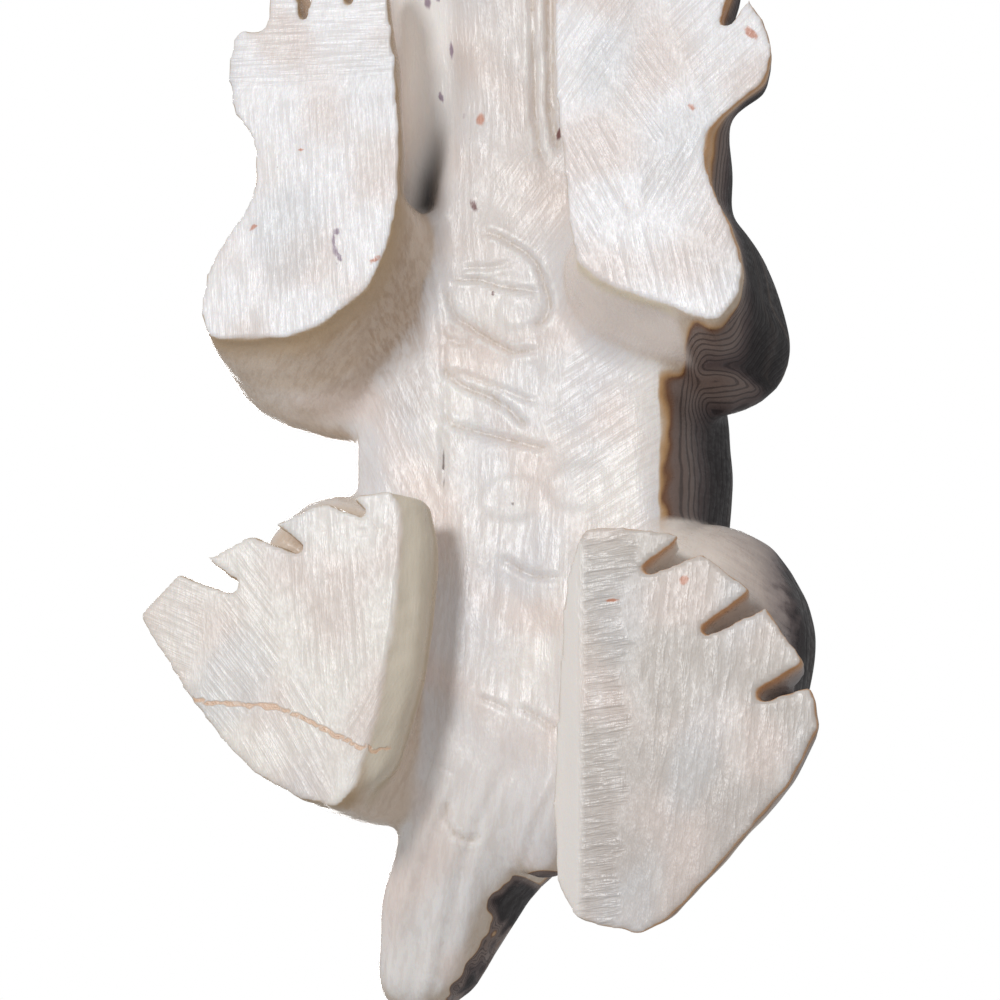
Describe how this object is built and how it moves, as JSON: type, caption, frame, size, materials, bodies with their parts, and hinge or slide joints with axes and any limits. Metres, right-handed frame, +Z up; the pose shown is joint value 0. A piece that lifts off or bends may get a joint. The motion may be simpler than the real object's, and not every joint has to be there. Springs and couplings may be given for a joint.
{
  "type": "reptile fetish carving",
  "caption": "Small lizard carved whole from banded stone, lying low on four flat-soled feet with notched toes, a blunt wedge head and a short tail bent to one side.",
  "frame": {"origin": "on the ground, under the middle of the whole carving's box", "axes": "+Z up towards the back, -Y towards the head, +Y towards the tail, +X towards the carving's right as it is seen from below with the head up, which is its own left"},
  "size_m": [0.0421, 0.083, 0.021],
  "materials": {
    "banded_stone": "satin-polished stone, cream underneath and taupe to near black towards the back"
  },
  "bodies": {
    "root": {"reptile_carving": "banded_stone"}
  },
  "joints": []
}
